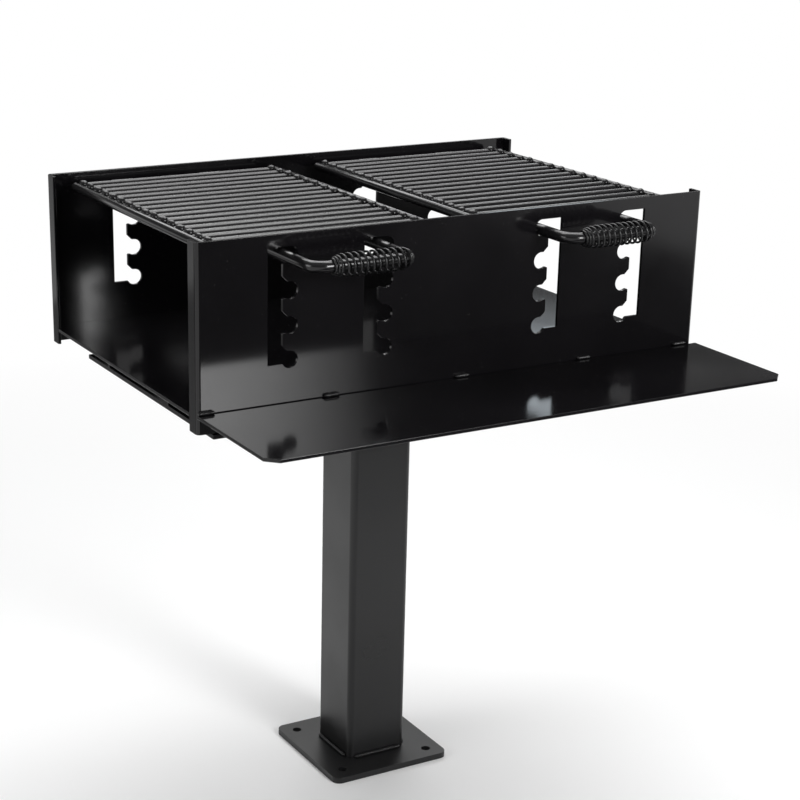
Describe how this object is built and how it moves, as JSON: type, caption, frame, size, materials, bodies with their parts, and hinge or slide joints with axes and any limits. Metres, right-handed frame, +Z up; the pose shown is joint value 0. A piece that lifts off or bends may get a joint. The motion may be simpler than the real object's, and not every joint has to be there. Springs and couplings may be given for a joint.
{
  "type": "park grill on a pedestal",
  "caption": "Park grill: a fire box of bent plates on a square post, with a utility shelf and lift-and-shift cooking grates hung by their handle rods in notched slots.",
  "frame": {"origin": "centre of the post's foot, on the ground", "axes": "+X right along the fire box, +Y from the shelf side to the back, +Z up"},
  "size_m": [0.8129, 0.7398, 0.9144],
  "materials": {
    "fire_box_paint": "glossy black powder coat",
    "grate_paint": "glossy black paint on round steel bar",
    "grip_wire": "satin black wound wire",
    "post_paint": "satin black powder coat",
    "zinc_steel": "zinc plated"
  },
  "bodies": {
    "stand": {"front_plate": "fire_box_paint", "back_plate": "fire_box_paint", "floor_plate": "fire_box_paint", "utility_shelf": "fire_box_paint", "shelf_welds": "fire_box_paint", "floor_welds": "fire_box_paint", "left_support_rail": "fire_box_paint", "right_support_rail": "fire_box_paint", "front_cross_member": "fire_box_paint", "rear_cross_member": "fire_box_paint", "frame_welds": "fire_box_paint", "post_top_plate": "post_paint", "mounting_bolts": "zinc_steel", "mounting_washers": "zinc_steel", "mounting_nuts": "zinc_steel", "post": "post_paint", "post_welds": "post_paint", "base_plate": "post_paint"},
    "left_grate": {"left_handle": "grate_paint", "left_cooking_rods": "grate_paint", "left_outer_side_bar": "grate_paint", "left_inner_side_bar": "grate_paint", "left_grip_spring": "grip_wire"},
    "right_grate": {"right_handle": "grate_paint", "right_cooking_rods": "grate_paint", "right_outer_side_bar": "grate_paint", "right_inner_side_bar": "grate_paint", "right_grip_spring": "grip_wire"}
  },
  "joints": [
    {"name": "left_grate_unhook", "type": "slide", "parent": "stand", "child": "left_grate", "axis": [-0.9321, 0, 0.3622], "range_m": [0, 0.02021]},
    {"name": "right_grate_unhook", "type": "slide", "parent": "stand", "child": "right_grate", "axis": [0.9321, 0, 0.3622], "range_m": [0, 0.02021]}
  ]
}
